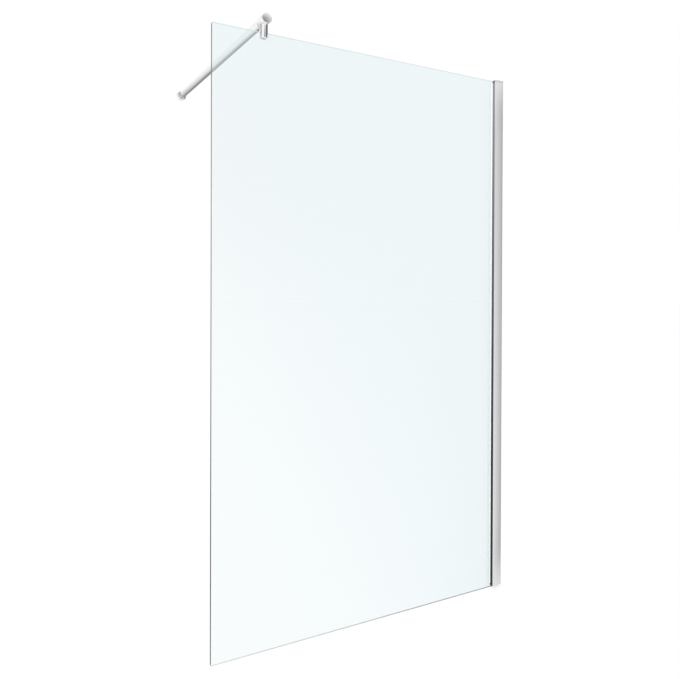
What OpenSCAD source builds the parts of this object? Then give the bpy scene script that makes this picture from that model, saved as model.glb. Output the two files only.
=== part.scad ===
// Walk-in shower screen: a glass panel that slides out of a wall channel to suit the room,
// held at the top by a clamp and a support bar that runs to a second wall.
// Millimetres, +Z up. X = 0 is the wall behind the channel, and the glass runs towards -X.
// Y = 0 is the middle of the glass, +Y is the shower side, and Z = 0 is the foot of the channel.

/* [Glass] */
// Width from the wall to the free edge, with the glass pushed fully in
screen_w = 1150; // [800:10:1400]
// Height of the glass
screen_h = 1950; // [1600:10:2200]
// Thickness of the glass
glass_t = 8; // [6:1:10]
// Radius of the two free corners
glass_corner_r = 5; // [2:1:20]

/* [Wall channel] */
// Width across the outside of the channel
channel_w = 33; // [31:0.5:40]
// Depth from the wall to the mouth of the channel
channel_d = 41; // [39:0.5:50]
// Thickness of the two legs
channel_leg_t = 1.6; // [1.2:0.1:2]
// Thickness of the base against the wall
channel_base_t = 1.8; // [1.4:0.1:2.2]
// Radius of the outside corners at the mouth
channel_edge_r = 0.6; // [0.2:0.1:1]
// Diameter of the wall screw holes
wall_hole_d = 5.5; // [4:0.5:8]
// Distance from each end of the channel to the outer wall screw holes
wall_hole_inset = 150; // [80:10:300]
// Distance between the two inner wall screw holes
wall_hole_pitch = 550; // [200:10:900]
// How far the glass reaches below the foot of the channel
glass_drop = 6; // [0:0.5:20]

/* [Channel caps] */
// Height of the top cap
cap_h = 8; // [7.5:0.5:12]
// How far the top cap stands above the glass
cap_rise = 2; // [0:0.5:6]
// Radius of the top cap's front corner
cap_corner_r = 7; // [3:0.5:7]
// Thickness of the tongue that locates the top cap
cap_tongue_t = 5; // [3:0.5:5.5]
// Length of that tongue
cap_tongue_l = 14; // [8:1:30]
// Height of the plug in the foot of the channel
foot_h = 6; // [4:1:12]
// Gap between the caps and each face of the glass
cap_glass_gap = 1; // [0.5:0.1:2]
// Fit of the tongue and of the foot plug in the channel
cap_fit = 0.1; // [0.05:0.05:0.2]

/* [Glass channel] */
// Distance from the wall to the back of the glass channel, pushed fully in
carrier_setback = 8; // [8:0.5:10]
// Thickness of the web behind the glass
carrier_web_t = 2; // [1.5:0.1:3]
// Thickness of the hollow legs' walls
carrier_wall_t = 1.4; // [1:0.1:1.8]
// Running gap on each side between the two channels
slide_gap = 0.3; // [0.2:0.05:0.5]
// How far the legs stop short of the wall channel's mouth
carrier_recess = 0.5; // [0.3:0.1:2]
// Gap at the two ends of the glass channel
carrier_end_gap = 0.5; // [0.3:0.1:2]
// How far the glass slides out of the wall channel
adjust_travel = 20; // [10:1:20]

/* [Seals] */
// Width of the gap that each seal fills beside the glass
seal_gap = 2.5; // [2:0.1:3]
// How far the seal lips stand out of the wall channel's mouth
lip_proud = 1.3; // [1:0.1:2]
// Running gap between the lips and the ends of the wall channel's legs
lip_leg_gap = 0.3; // [0.2:0.05:0.5]
// How far the lips stop short of the sides of the wall channel
lip_side_inset = 0.2; // [0.1:0.1:1]
// How far the backs of the lips stop short of the sides of the glass channel
lip_inset = 0.2; // [0.1:0.1:1]
// How far the lips stop short of the foot of the channel
lip_foot_gap = 0.5; // [0.3:0.1:2]
// Running gap between the lips and the caps behind them
lip_cap_gap = 0.2; // [0.1:0.05:0.3]
// Depth of the part of each seal that is wedged beside the glass
seal_wedge_l = 14; // [8:1:20]
// How much each seal tapers off towards its tip
seal_taper = 0.8; // [0.2:0.1:1.2]

/* [Setting blocks] */
// Thickness of the blocks between the web and the edge of the glass
block_t = 2; // [1:0.5:3]
// Length of each block
block_l = 60; // [30:5:100]
// Gap beside each block
block_side_gap = 0.2; // [0.1:0.1:0.5]
// Distance from each end of the channel to the middle of the end blocks
block_inset = 90; // [60:5:140]

/* [Fixing screws] */
// Diameter of the screws that hold the two channels together
fixing_d = 4; // [3:0.5:5]
// Length of the screws under the head
fixing_l = 8; // [7:0.5:9]
// Diameter of the screw heads
fixing_head_d = 7.5; // [6:0.5:8]
// Height of the screw heads
fixing_head_h = 2.4; // [1.8:0.1:2.6]
// Distance from the wall to the screws, with the glass pushed fully in
fixing_setback = 14; // [14:0.5:15]
// Distance from each end of the channel to the end screws
fixing_inset = 220; // [180:10:300]
// Gap beside the screws in the slots
slot_side_gap = 0.3; // [0.2:0.1:0.5]
// Diameter of the washers
washer_d = 10; // [9:0.5:12]
// Thickness of the washers
washer_t = 1; // [0.6:0.1:1.5]
// Running gap under the washers
washer_gap = 0.1; // [0.05:0.05:0.2]
// Diameter of the screw covers
cover_d = 13; // [12.5:0.5:16]
// How far the screw covers stand out of the channel
cover_h = 5.5; // [5:0.5:8]
// Running gap between the rim of the covers and the channel
cover_rim_gap = 0.3; // [0.2:0.1:0.5]

/* [Clamp] */
// Distance from the free edge of the glass to the middle of the clamp
clamp_from_edge = 168.5; // [60:0.5:400]
// Diameter of the barrel that holds the bar
barrel_d = 33; // [33:0.5:40]
// Distance from the middle of the glass to the front of the end cap
barrel_front = 27.5; // [22:0.5:40]
// Distance from the middle of the glass to the rear end of the barrel
barrel_rear = 22.5; // [22:0.5:30]
// Thickness of the end cap
end_cap_t = 2; // [1.5:0.5:4]
// Length of the end cap's spigot
end_cap_spigot_l = 2; // [1:0.5:4]
// Diameter of the stem that grips the glass
stem_d = 25.5; // [20:0.5:26]
// Depth of the grip on the glass
grip_depth = 17.5; // [12:0.5:25]
// Height of the bar's axis above the glass
bar_rise = 38.5; // [26:0.5:60]
// Rounding of the stem's lower rim
stem_rim_r = 1.2; // [0.4:0.1:2]
// Chamfer on the rims of the barrel and the end cap
barrel_rim_c = 0.6; // [0.2:0.1:1]
// Gap between the top of the glass and the bottom of the slot
slot_top_gap = 1; // [0.5:0.1:3]
// Thickness of the glass pads
pad_t = 1.5; // [1:0.1:2]
// Width of the glass pads
pad_w = 17; // [12:0.5:17]
// How far the pads stop short of the stem's lower rim
pad_inset = 1.5; // [1:0.5:3]
// Gap between the pads and the glass
pad_gap = 0.15; // [0.1:0.05:0.3]
// Thickness of the pressure plate behind the rear pad
plate_t = 1; // [0.6:0.1:1.5]
// Diameter of the grub screw that grips the glass
glass_grub_d = 6; // [4:0.5:6]
// Length of the grub screw that grips the glass
glass_grub_l = 4.5; // [3:0.5:4.5]
// Diameter of the grub screw that locks the bar
bar_grub_d = 5; // [3:0.5:5]
// Length of the grub screw that locks the bar
bar_grub_l = 2.5; // [2:0.5:3]
// Distance from the barrel's rear end to that grub screw
bar_grub_inset = 6; // [4:0.5:6]

/* [Support bar] */
// Diameter of the bar
bar_d = 28; // [25:0.5:29]
// Wall thickness of the tube
bar_wall = 1.5; // [1:0.1:2.5]
// Distance from the middle of the glass to the second wall, with the bar pushed fully in
bar_reach = 940; // [400:10:1200]
// Radial clearance of the bar in the barrel
bar_fit = 0.05; // [0.02:0.01:0.1]
// Gap between the end of the bar and the end cap
bar_end_gap = 1; // [0.5:0.5:3]

/* [Swivel bracket] */
// Distance from the second wall to the swivel pin
pivot_to_wall = 22; // [20:0.5:40]
// Distance from the end of the tube to the swivel pin
pivot_to_tube = 18; // [16:0.5:30]
// Thickness of the knuckle's collar
collar_t = 4; // [2:0.5:5]
// Length of the knuckle inside the tube
knuckle_l = 25; // [16:1:40]
// Fit of the knuckle in the tube
knuckle_fit = 0.05; // [0.02:0.01:0.1]
// Width of the tongue and the ears
tongue_w = 14; // [12:0.5:14]
// Thickness of the tongue
tongue_t = 8; // [5:0.5:9]
// Thickness of the ears
ear_t = 4; // [3:0.5:4.5]
// Thickness of the swivel washers
swivel_washer_t = 0.8; // [0.5:0.1:1]
// Diameter of the swivel washers
swivel_washer_d = 13; // [10:0.5:13]
// Running gap between the tongue and the washers
swivel_gap = 0.1; // [0.05:0.05:0.2]
// Diameter of the swivel pin
pin_d = 6; // [4:0.5:6]
// Radial clearance of the pin in the tongue
pin_fit = 0.05; // [0.02:0.01:0.1]
// Diameter of the pin's heads
pin_head_d = 9; // [7:0.5:11]
// Height of the pin's heads
pin_head_h = 1.2; // [0.8:0.1:2]
// Diameter of the knuckle's grub screw
knuckle_grub_d = 4; // [3:0.5:5]
// Length of the knuckle's grub screw
knuckle_grub_l = 6; // [4:0.5:8]
// Distance from the end of the tube to the knuckle's grub screw
knuckle_grub_inset = 12; // [6:0.5:15]
// Diameter of the flange cover
flange_d = 40; // [39:0.5:60]
// Depth of the flange cover
flange_depth = 8; // [7:0.5:10]
// Wall thickness of the flange cover
flange_cover_t = 1.2; // [0.8:0.1:1.4]
// Radius of the flange cover's front edge
flange_edge_r = 3; // [2:0.5:3]
// Thickness of the flange plate
flange_plate_t = 4; // [3:0.5:4]
// Diameter of the flange's screw holes
flange_hole_d = 4.5; // [3:0.5:4.5]
// Distance between the flange's screw holes
flange_hole_pitch = 28; // [27:0.5:28]

/* [Small fits] */
// Radial clearance of fixed screws and pins in their holes
thread_fit = 0.02; // [0.01:0.01:0.05]
// Fit of the screw covers, the end cap and the flange cover
cover_fit = 0.1; // [0.05:0.05:0.2]
// Width across the corners of the sockets in the screws, as a share of their diameter
socket_share = 0.55; // [0.4:0.05:0.6]

/* [Hidden] */
$fn = 64;
cut = 1; // how far a cut runs past the face that it opens

// Heights above the foot of the channel
glass_top = screen_h - glass_drop;
cap_top = glass_top + cap_rise;
channel_top = cap_top - cap_h;
channel_mid = cap_top / 2;
carrier_bottom = foot_h + carrier_end_gap;
carrier_top = channel_top - carrier_end_gap;
wall_hole_heights = [wall_hole_inset, channel_mid - wall_hole_pitch / 2,
    channel_mid + wall_hole_pitch / 2, cap_top - wall_hole_inset];
fixing_heights = [fixing_inset, channel_mid, cap_top - fixing_inset];
block_heights = [block_inset, channel_mid, cap_top - block_inset];

// Distances from the middle of the glass
channel_inside = channel_w / 2 - channel_leg_t;
carrier_half = channel_inside - slide_gap;
pocket_half = glass_t / 2 + seal_gap;
lip_half = carrier_half - lip_inset;
lip_side = channel_w / 2 - lip_side_inset;
washer_face = channel_w / 2 + washer_gap + washer_t;
head_face = washer_face + fixing_head_h;

// Distances from the wall
carrier_mouth = channel_d - carrier_recess;
web_face = carrier_setback + carrier_web_t;
glass_edge = web_face + block_t;
lip_face = channel_d + lip_proud;
lip_root = (lip_face + carrier_mouth) / 2;
cap_face = carrier_mouth - lip_cap_gap;

// Clamp and bar
bar_x = -(screen_w - clamp_from_edge);
bar_z = glass_top + bar_rise;
stem_bottom = glass_top - grip_depth;
slot_top = glass_top + slot_top_gap;
slot_front = glass_t / 2 + pad_gap + pad_t;
slot_rear = slot_front + plate_t;
pad_h = grip_depth - pad_inset;
grub_z = stem_bottom + pad_inset + pad_h / 2;
barrel_bore_d = bar_d + 2 * bar_fit;
barrel_start = end_cap_t - barrel_front;
bar_start = barrel_start + end_cap_spigot_l + bar_end_gap;
bar_bore_d = bar_d - 2 * bar_wall;
pivot_y = bar_reach - pivot_to_wall;
bar_end = pivot_y - pivot_to_tube;
bar_grub_y = barrel_rear - bar_grub_inset;
knuckle_grub_y = bar_end - knuckle_grub_inset;

// Swivel bracket, measured up and down from the bar's axis
washer_in = tongue_t / 2 + swivel_gap;
ear_in = washer_in + swivel_washer_t;
ear_out = ear_in + ear_t;
flange_front = bar_reach - flange_depth;
plate_front = bar_reach - flange_plate_t;
flange_plate_d = flange_d - 2 * flange_cover_t - 2 * cover_fit;
flange_opening_r = norm([tongue_w / 2, ear_out]) + cover_fit;

ALUMINIUM = [0.83, 0.83, 0.84];
CHROME = [0.72, 0.73, 0.75];
STEEL = [0.62, 0.62, 0.64];
BLACK = [0.13, 0.13, 0.14];
CLEAR_PLASTIC = [0.85, 0.87, 0.88];
GLASS = [0.88, 0.96, 0.96, 0.35];

// A box between two opposite corners
module box(low, high) {
    translate(low) cube(high - low);
}

// What is drawn around Z here lies along the shower's depth, starting at a point
module along_y(at) {
    translate(at) rotate([-90, 0, 0]) children();
}

// An outline drawn in X and Z, spread evenly across the middle of the glass
module across_glass(width) {
    translate([0, width / 2, 0]) rotate([90, 0, 0]) linear_extrude(height = width) children();
}

// The side view of a top end whose front corner is rounded about the cap's corner centre
module rounded_front(front, back, low, r) {
    corner_z = cap_top - cap_corner_r;
    difference() {
        translate([-front, low]) square([front - back, corner_z + r - low]);
        difference() {
            translate([-front - cut, corner_z]) square(r + cut);
            translate([r - front, corner_z]) circle(r = r);
        }
    }
}

// A round bar with a chamfer at each end
module chamfered_rod(d, h, low_c, high_c) {
    rotate_extrude() polygon([[0, 0], [d / 2 - low_c, 0], [d / 2, low_c],
        [d / 2, h - high_c], [d / 2 - high_c, h], [0, h]]);
}

// A grub screw with a hexagon socket in its far end
module grub(d, l) {
    difference() {
        cylinder(d = d, h = l);
        translate([0, 0, l / 2]) cylinder(d = d * socket_share, h = l / 2 + cut, $fn = 6);
    }
}

// The gap in a channel cap that the glass runs through
module cap_slot(low, high) {
    box([-channel_d - cut, -glass_t / 2 - cap_glass_gap, low - cut],
        [cap_glass_gap - glass_edge, glass_t / 2 + cap_glass_gap, high + cut]);
}

// The place of each fixing screw, at the outside face of the rear leg
module at_fixings() {
    for (z = fixing_heights)
        along_y([-fixing_setback, channel_w / 2, z]) children();
}

module channel_section() {
    half = channel_w / 2;
    r = channel_edge_r;
    difference() {
        union() {
            translate([r - channel_d, -half]) square([channel_d - r, channel_w]);
            translate([-channel_d, r - half]) square([channel_d, channel_w - 2 * r]);
            for (side = [-1, 1])
                translate([r - channel_d, side * (half - r)]) circle(r = r);
        }
        translate([-channel_d - cut, -channel_inside])
            square([channel_d - channel_base_t + cut, 2 * channel_inside]);
    }
}

module wall_channel() {
    slot_w = fixing_d + 2 * slot_side_gap;
    color(ALUMINIUM) difference() {
        linear_extrude(height = channel_top) channel_section();
        for (z = wall_hole_heights)
            translate([-channel_base_t - cut, 0, z]) rotate([0, 90, 0])
                cylinder(d = wall_hole_d, h = channel_base_t + 2 * cut);
        at_fixings() translate([0, 0, -channel_leg_t - cut]) {
            cylinder(d = slot_w, h = channel_leg_t + 2 * cut);
            translate([-adjust_travel, 0, 0]) cylinder(d = slot_w, h = channel_leg_t + 2 * cut);
            translate([-adjust_travel, -slot_w / 2, 0])
                cube([adjust_travel, slot_w, channel_leg_t + 2 * cut]);
        }
    }
}

module top_cap() {
    tongue_back = channel_base_t + cap_fit;
    recess_half = lip_half + lip_cap_gap;
    color(ALUMINIUM) {
        difference() {
            across_glass(channel_w) rounded_front(channel_d, 0, channel_top, cap_corner_r);
            cap_slot(channel_top, cap_top);
            box([-channel_d - cut, -recess_half, channel_top - cut],
                [-cap_face, recess_half, cap_top + cut]);
        }
        box([-tongue_back - cap_tongue_t, cap_fit - channel_inside, channel_top - cap_tongue_l],
            [-tongue_back, channel_inside - cap_fit, channel_top]);
    }
}

module foot_plug() {
    color(BLACK) difference() {
        box([-cap_face, cap_fit - channel_inside, 0],
            [-channel_base_t - cap_fit, channel_inside - cap_fit, foot_h]);
        cap_slot(0, foot_h);
    }
}

module glass_channel() {
    hollow_w = carrier_half - pocket_half - 2 * carrier_wall_t;
    hollow_d = carrier_mouth - carrier_wall_t - web_face;
    color(ALUMINIUM) difference() {
        translate([0, 0, carrier_bottom]) linear_extrude(height = carrier_top - carrier_bottom)
            difference() {
                translate([-carrier_mouth, -carrier_half])
                    square([carrier_mouth - carrier_setback, 2 * carrier_half]);
                translate([-carrier_mouth - cut, -pocket_half])
                    square([carrier_mouth - web_face + cut, 2 * pocket_half]);
                for (side = [-1, 1])
                    translate([-web_face - hollow_d / 2,
                        side * (pocket_half + carrier_wall_t + hollow_w / 2)])
                        square([hollow_d, hollow_w], center = true);
            }
        at_fixings() translate([0, 0, carrier_half - channel_w / 2 - carrier_wall_t - cut])
            cylinder(d = fixing_d + 2 * thread_fit, h = carrier_wall_t + 2 * cut);
    }
}

module glass_panel() {
    r = glass_corner_r;
    color(GLASS) translate([0, 0, -glass_drop]) across_glass(glass_t) {
        translate([r - screen_w, 0]) square([screen_w - glass_edge - r, screen_h]);
        translate([-screen_w, r]) square([r, screen_h - 2 * r]);
        for (z = [r, screen_h - r]) translate([r - screen_w, z]) circle(r = r);
    }
}

// The rear seal: a lip over the ends of both channels' legs and in front of both caps, stepped
// back beside the wall channel's leg, and a tapered tail beside the glass
module seal() {
    tail_x = seal_wedge_l - carrier_mouth;
    difference() {
        translate([0, lip_side, 0]) rotate([90, 0, 0])
            linear_extrude(height = lip_side - glass_t / 2)
                rounded_front(lip_face, carrier_mouth, lip_foot_gap, cap_corner_r + lip_proud);
        box([-channel_d - lip_leg_gap, lip_half, lip_foot_gap - cut],
            [cut - carrier_mouth, lip_side + cut, cap_top + lip_proud + cut]);
    }
    translate([0, 0, carrier_bottom]) linear_extrude(height = carrier_top - carrier_bottom)
        polygon([[-lip_root, glass_t / 2], [-lip_root, pocket_half], [-carrier_mouth, pocket_half],
            [tail_x, pocket_half - seal_taper], [tail_x, glass_t / 2]]);
}

module front_seal() {
    color(BLACK) mirror([0, 1, 0]) seal();
}

module rear_seal() {
    color(CLEAR_PLASTIC) seal();
}

module setting_blocks() {
    half = pocket_half - block_side_gap;
    color(BLACK) for (z = block_heights)
        box([-glass_edge, -half, z - block_l / 2], [-web_face, half, z + block_l / 2]);
}

module fixing_screws() {
    color(STEEL) at_fixings() translate([0, 0, washer_gap + washer_t]) difference() {
        union() {
            translate([0, 0, -fixing_l]) cylinder(d = fixing_d, h = fixing_l);
            cylinder(d = fixing_head_d, h = fixing_head_h);
        }
        translate([0, 0, fixing_head_h / 2])
            cylinder(d = fixing_d * socket_share, h = fixing_head_h, $fn = 6);
    }
}

module fixing_washers() {
    color(STEEL) at_fixings() translate([0, 0, washer_gap]) difference() {
        cylinder(d = washer_d, h = washer_t);
        translate([0, 0, -cut]) cylinder(d = fixing_d + 2 * thread_fit, h = washer_t + 2 * cut);
    }
}

module screw_covers() {
    color(CHROME) at_fixings() difference() {
        translate([0, 0, cover_rim_gap])
            chamfered_rod(cover_d, cover_h - cover_rim_gap, 0, barrel_rim_c);
        cylinder(d = washer_d + 2 * cover_fit, h = washer_gap + washer_t);
        cylinder(d = fixing_head_d + 2 * cover_fit, h = head_face - channel_w / 2 + cover_fit);
    }
}

module clamp_body() {
    rim_r = stem_rim_r;
    slot_w = stem_d + 2 * cut;
    color(CHROME) difference() {
        union() {
            along_y([bar_x, barrel_start, bar_z])
                chamfered_rod(barrel_d, barrel_rear - barrel_start, 0, barrel_rim_c);
            translate([bar_x, 0, stem_bottom]) rotate_extrude() {
                square([stem_d / 2 - rim_r, bar_z - stem_bottom]);
                translate([0, rim_r]) square([stem_d / 2, bar_z - stem_bottom - rim_r]);
                translate([stem_d / 2 - rim_r, rim_r]) circle(r = rim_r);
            }
        }
        along_y([bar_x, barrel_start - cut, bar_z])
            cylinder(d = barrel_bore_d, h = barrel_rear - barrel_start + 2 * cut);
        box([bar_x - slot_w / 2, -slot_front, stem_bottom - cut],
            [bar_x + slot_w / 2, slot_rear, slot_top]);
        along_y([bar_x, slot_rear - cut, grub_z])
            cylinder(d = glass_grub_d + 2 * thread_fit, h = stem_d / 2 - slot_rear + 2 * cut);
        translate([bar_x, bar_grub_y, bar_z - barrel_d / 2 - cut])
            cylinder(d = bar_grub_d + 2 * thread_fit, h = barrel_d / 2 - bar_d / 4 + cut);
    }
}

module clamp_end_cap() {
    color(CHROME) along_y([bar_x, -barrel_front, bar_z]) {
        chamfered_rod(barrel_d, end_cap_t, barrel_rim_c, 0);
        cylinder(d = barrel_bore_d - 2 * cover_fit, h = end_cap_t + end_cap_spigot_l);
    }
}

// A glass pad that starts at a place across the glass and reaches towards +Y
module pad(front_y) {
    color(CLEAR_PLASTIC) translate([bar_x - pad_w / 2, front_y, stem_bottom + pad_inset])
        cube([pad_w, pad_t, pad_h]);
}

module front_pad() {
    pad(-slot_front);
}

module rear_pad() {
    pad(slot_rear - plate_t - pad_t);
}

module pressure_plate() {
    color(STEEL) translate([bar_x - pad_w / 2, slot_rear - plate_t, stem_bottom + pad_inset])
        cube([pad_w, plate_t, pad_h]);
}

module glass_grub_screw() {
    color(STEEL) along_y([bar_x, slot_rear, grub_z]) grub(glass_grub_d, glass_grub_l);
}

module bar_grub_screw() {
    color(STEEL) translate([bar_x, bar_grub_y, bar_z - bar_d / 2 - cover_fit])
        rotate([180, 0, 0]) grub(bar_grub_d, bar_grub_l);
}

module support_bar() {
    color(CHROME) difference() {
        along_y([bar_x, bar_start, bar_z]) cylinder(d = bar_d, h = bar_end - bar_start);
        along_y([bar_x, bar_start - cut, bar_z])
            cylinder(d = bar_bore_d, h = bar_end - bar_start + 2 * cut);
        translate([bar_x, knuckle_grub_y, bar_z - bar_d / 2 - cut])
            cylinder(d = knuckle_grub_d + 2 * thread_fit, h = bar_d / 4 + cut);
    }
}

module bar_knuckle() {
    tongue_start = bar_end + collar_t;
    color(CHROME) difference() {
        union() {
            along_y([bar_x, bar_end - knuckle_l, bar_z])
                chamfered_rod(bar_bore_d - 2 * knuckle_fit, knuckle_l + collar_t,
                    barrel_rim_c, 0);
            along_y([bar_x, bar_end, bar_z])
                chamfered_rod(bar_d, collar_t, 0, barrel_rim_c);
            box([bar_x - tongue_w / 2, tongue_start - collar_t / 2, bar_z - tongue_t / 2],
                [bar_x + tongue_w / 2, pivot_y, bar_z + tongue_t / 2]);
            translate([bar_x, pivot_y, bar_z - tongue_t / 2]) cylinder(d = tongue_w, h = tongue_t);
        }
        translate([bar_x, pivot_y, bar_z - tongue_t / 2 - cut])
            cylinder(d = pin_d + 2 * pin_fit, h = tongue_t + 2 * cut);
        translate([bar_x, knuckle_grub_y, bar_z - bar_d / 2])
            cylinder(d = knuckle_grub_d + 2 * thread_fit, h = knuckle_grub_l + cover_fit);
    }
}

module knuckle_grub_screw() {
    color(STEEL) translate([bar_x, knuckle_grub_y, bar_z - bar_d / 2 + knuckle_grub_l])
        rotate([180, 0, 0]) grub(knuckle_grub_d, knuckle_grub_l);
}

module flange_base() {
    color(STEEL) difference() {
        union() {
            along_y([bar_x, plate_front, bar_z]) cylinder(d = flange_plate_d, h = flange_plate_t);
            for (low = [-ear_out, ear_in]) {
                translate([bar_x, pivot_y, bar_z + low]) cylinder(d = tongue_w, h = ear_t);
                box([bar_x - tongue_w / 2, pivot_y, bar_z + low],
                    [bar_x + tongue_w / 2, plate_front + flange_plate_t / 2, bar_z + low + ear_t]);
            }
        }
        translate([bar_x, pivot_y, bar_z - ear_out - cut])
            cylinder(d = pin_d + 2 * thread_fit, h = 2 * ear_out + 2 * cut);
        for (side = [-1, 1])
            along_y([bar_x + side * flange_hole_pitch / 2, plate_front - cut, bar_z])
                cylinder(d = flange_hole_d, h = flange_plate_t + 2 * cut);
    }
}

module swivel_pin() {
    color(STEEL) translate([bar_x, pivot_y, bar_z]) {
        cylinder(d = pin_d, h = 2 * ear_out, center = true);
        for (up = [0, 180]) rotate([up, 0, 0]) translate([0, 0, ear_out])
            chamfered_rod(pin_head_d, pin_head_h, 0, pin_head_h / 2);
    }
}

module swivel_washers() {
    color(CLEAR_PLASTIC) for (up = [0, 180])
        translate([bar_x, pivot_y, bar_z]) rotate([up, 0, 0]) translate([0, 0, washer_in])
            difference() {
                cylinder(d = swivel_washer_d, h = swivel_washer_t);
                translate([0, 0, -cut])
                    cylinder(d = pin_d + 2 * thread_fit, h = swivel_washer_t + 2 * cut);
            }
}

// Half of the outline of a round cup with a rounded rim, drawn from its mouth upwards
module cup_outline(r, h, edge_r) {
    square([r, h - edge_r]);
    square([r - edge_r, h]);
    translate([r - edge_r, h - edge_r]) circle(r = edge_r);
}

module flange_cover() {
    t = flange_cover_t;
    color(CHROME) translate([bar_x, bar_reach - cover_fit, bar_z]) rotate([90, 0, 0])
        rotate_extrude() difference() {
            cup_outline(flange_d / 2, flange_depth - cover_fit, flange_edge_r);
            translate([0, -cut])
                cup_outline(flange_d / 2 - t, flange_depth - cover_fit - t + cut,
                    flange_edge_r - t);
            translate([0, -cut]) square([flange_opening_r, flange_depth + 2 * cut]);
        }
}

wall_channel();
top_cap();
foot_plug();
glass_channel();
glass_panel();
front_seal();
rear_seal();
setting_blocks();
fixing_screws();
fixing_washers();
screw_covers();
clamp_body();
clamp_end_cap();
front_pad();
rear_pad();
pressure_plate();
glass_grub_screw();
bar_grub_screw();
support_bar();
bar_knuckle();
knuckle_grub_screw();
flange_base();
swivel_pin();
swivel_washers();
flange_cover();
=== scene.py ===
import math
from collections import namedtuple

import bmesh
import bpy
from mathutils import Matrix, Vector


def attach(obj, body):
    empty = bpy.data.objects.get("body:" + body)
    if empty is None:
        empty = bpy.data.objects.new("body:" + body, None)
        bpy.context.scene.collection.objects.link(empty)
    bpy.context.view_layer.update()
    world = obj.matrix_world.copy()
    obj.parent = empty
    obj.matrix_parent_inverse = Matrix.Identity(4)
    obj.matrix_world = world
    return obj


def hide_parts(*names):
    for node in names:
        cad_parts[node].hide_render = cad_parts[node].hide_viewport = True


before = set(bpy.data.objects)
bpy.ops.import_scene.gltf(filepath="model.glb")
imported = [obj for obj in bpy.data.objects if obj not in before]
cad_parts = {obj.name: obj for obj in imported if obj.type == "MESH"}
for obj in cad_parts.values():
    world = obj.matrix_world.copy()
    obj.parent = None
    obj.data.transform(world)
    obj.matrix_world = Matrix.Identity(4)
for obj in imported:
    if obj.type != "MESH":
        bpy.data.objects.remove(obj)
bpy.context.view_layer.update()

# Lengths are in millimetres until a piece is finished, and then in metres
MM = 0.001
FULL_TURN = 2 * math.pi

# How close counts as being at a place, and how far a tool reaches past what it cuts
NEAR = 0.1
OVERCUT = 1

# Steps round the turned shapes, from the widest to the holes
BARREL_STEPS = 128
TURNED_STEPS = 96
COVER_STEPS = 72
ROD_STEPS = 64
GRUB_STEPS = 48
HOLE_STEPS = 40

# Screen
SCREEN_W = 1150
SCREEN_H = 1950
GLASS_LOW = -6
GLASS_HIGH = GLASS_LOW + SCREEN_H
GLASS_HALF = 4
GLASS_END = 12
GLASS_CORNER_R = 5
ARRIS = 0.8

# Wall channel
CHANNEL_D = 41
CHANNEL_HALF = 16.5
CHANNEL_LEG_T = 1.6
CHANNEL_BASE_T = 1.8
CHANNEL_INSIDE = CHANNEL_HALF - CHANNEL_LEG_T
CROWN = 0.6
HOLE_REACH = 4
SLOT_R = 2.3
SLOT_TRAVEL = 20
WALL_HOLE_R = 2.75
WALL_HOLE_INSET = 150
WALL_HOLE_PITCH = 550
FIXING_INSET = 220
FIXING_X = -14

# Top cap
CAP_H = 8
CAP_RISE = 2
CAP_CORNER_R = 7
CAP_SLOT_HALF = 5
CAP_GAP = 0.2
TONGUE_T = 5
TONGUE_L = 14
TONGUE_FIT = 0.1
TONGUE_ROOT = 1

# Heights that follow
CAP_TOP = GLASS_HIGH + CAP_RISE
CHANNEL_TOP = CAP_TOP - CAP_H
CHANNEL_MID = CAP_TOP / 2
WALL_HOLES = (WALL_HOLE_INSET, CHANNEL_MID - WALL_HOLE_PITCH / 2,
              CHANNEL_MID + WALL_HOLE_PITCH / 2, CAP_TOP - WALL_HOLE_INSET)
FIXINGS = (FIXING_INSET, CHANNEL_MID, CAP_TOP - FIXING_INSET)

# Seals: a lip in front of the mouth, a root in the mouth and a tail beside the glass
LIP_PROUD = 1.3
LIP_X = -CHANNEL_D - LIP_PROUD
LIP_STEP_X = -CHANNEL_D - 0.3
LIP_BACK_X = -CHANNEL_D + 0.5
LIP_LOW = 0.5
LIP_SIDE = CHANNEL_HALF - 0.2
LIP_HALF = CHANNEL_INSIDE - 0.5
LIP_CORNER_R = CAP_CORNER_R + LIP_PROUD
LIP_ARC_STEPS = 4
SEAL_FIT = 0.06
GLASS_SIDE = GLASS_HALF + SEAL_FIT
TAIL_L = 14
TAIL_X = LIP_BACK_X + TAIL_L
TAIL_LOW = 6.5
TAIL_HIGH = CHANNEL_TOP - 0.5
TAIL_ROOT_HALF = 6.5
TAIL_TIP_HALF = 5.7
JOIN = 0.02

# Screw covers
COVER_R = 6.5
COVER_LOW = 0.3
COVER_HIGH = 5.5
COVER_DOME = 0.8
COVER_EDGE = 0.5
COVER_OPENING_R = 5.1
COVER_OPENING_HIGH = 1.1
COVER_POCKET_R = 3.85
COVER_POCKET_HIGH = 3.6

# Bar
BAR_REACH = 940
BAR_INSET = 168.5
BAR_RISE = 38.5
BAR_X = -SCREEN_W + BAR_INSET
BAR_Z = GLASS_HIGH + BAR_RISE
BAR_R = 14
BAR_WALL = 1.5
BAR_FIT = 0.05
BAR_BORE_R = BAR_R - BAR_WALL
BAR_START = -22.5
BAR_END = 900
BAR_HOLE_DEPTH = 4

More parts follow.
